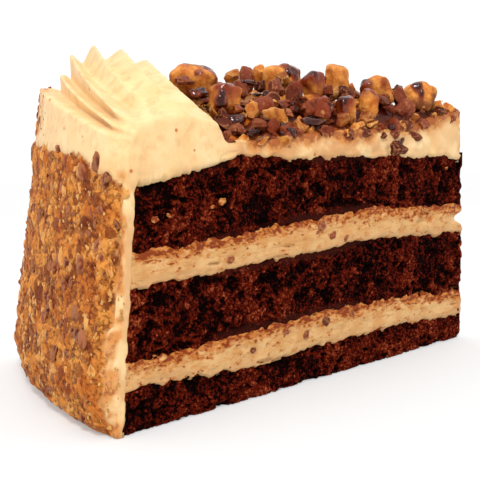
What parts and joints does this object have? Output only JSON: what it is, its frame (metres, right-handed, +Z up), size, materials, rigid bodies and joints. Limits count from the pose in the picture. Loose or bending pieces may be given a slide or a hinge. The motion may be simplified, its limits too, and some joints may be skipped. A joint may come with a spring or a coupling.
{
  "type": "chocolate peanut butter layer cake slice",
  "caption": "Wedge of chocolate layer cake with peanut butter filling and frosting, a star-piped border on the rim, a crumb-coated side and chopped candy on top.",
  "frame": {"origin": "on the table under the middle of the slice's box", "axes": "+X from the rim to the tip along the middle of the wedge, +Z up; the face cut on the -Y side is the one that the picture shows"},
  "size_m": [0.132, 0.0788, 0.089],
  "materials": {
    "cake": "dark, moist, open-crumbed chocolate sponge",
    "filling": "soft spread cream with cake crumbs dragged over it by the knife",
    "frosting": "smooth buttery cream with a soft sheen",
    "crumb_coat": "rough coat of crushed candy and chocolate bits",
    "peanut_candy": "waxy, broken faces, glazed with fudge in places",
    "milk_chocolate": "satin, with chipped edges"
  },
  "bodies": {
    "root": {"cake_layer_bottom": "cake", "cake_layer_middle": "cake", "cake_layer_top": "cake", "filling_lower": "filling", "filling_upper": "filling", "frosting_side": "crumb_coat", "frosting_top": "frosting", "piped_border": "frosting", "candy_heap": "peanut_candy", "peanut_chunk_01": "peanut_candy", "peanut_chunk_02": "peanut_candy", "peanut_chunk_03": "peanut_candy", "peanut_chunk_04": "peanut_candy", "peanut_chunk_05": "peanut_candy", "peanut_chunk_06": "peanut_candy", "peanut_chunk_07": "peanut_candy", "peanut_chunk_08": "peanut_candy", "peanut_chunk_09": "peanut_candy", "peanut_chunk_10": "peanut_candy", "peanut_chunk_11": "peanut_candy", "peanut_chunk_12": "peanut_candy", "chocolate_chunk_01": "milk_chocolate", "chocolate_chunk_02": "milk_chocolate", "chocolate_chunk_03": "milk_chocolate", "chocolate_chunk_04": "milk_chocolate", "chocolate_chunk_05": "milk_chocolate", "chocolate_chunk_06": "milk_chocolate", "chocolate_chunk_07": "milk_chocolate", "chocolate_chunk_08": "milk_chocolate"}
  },
  "joints": []
}
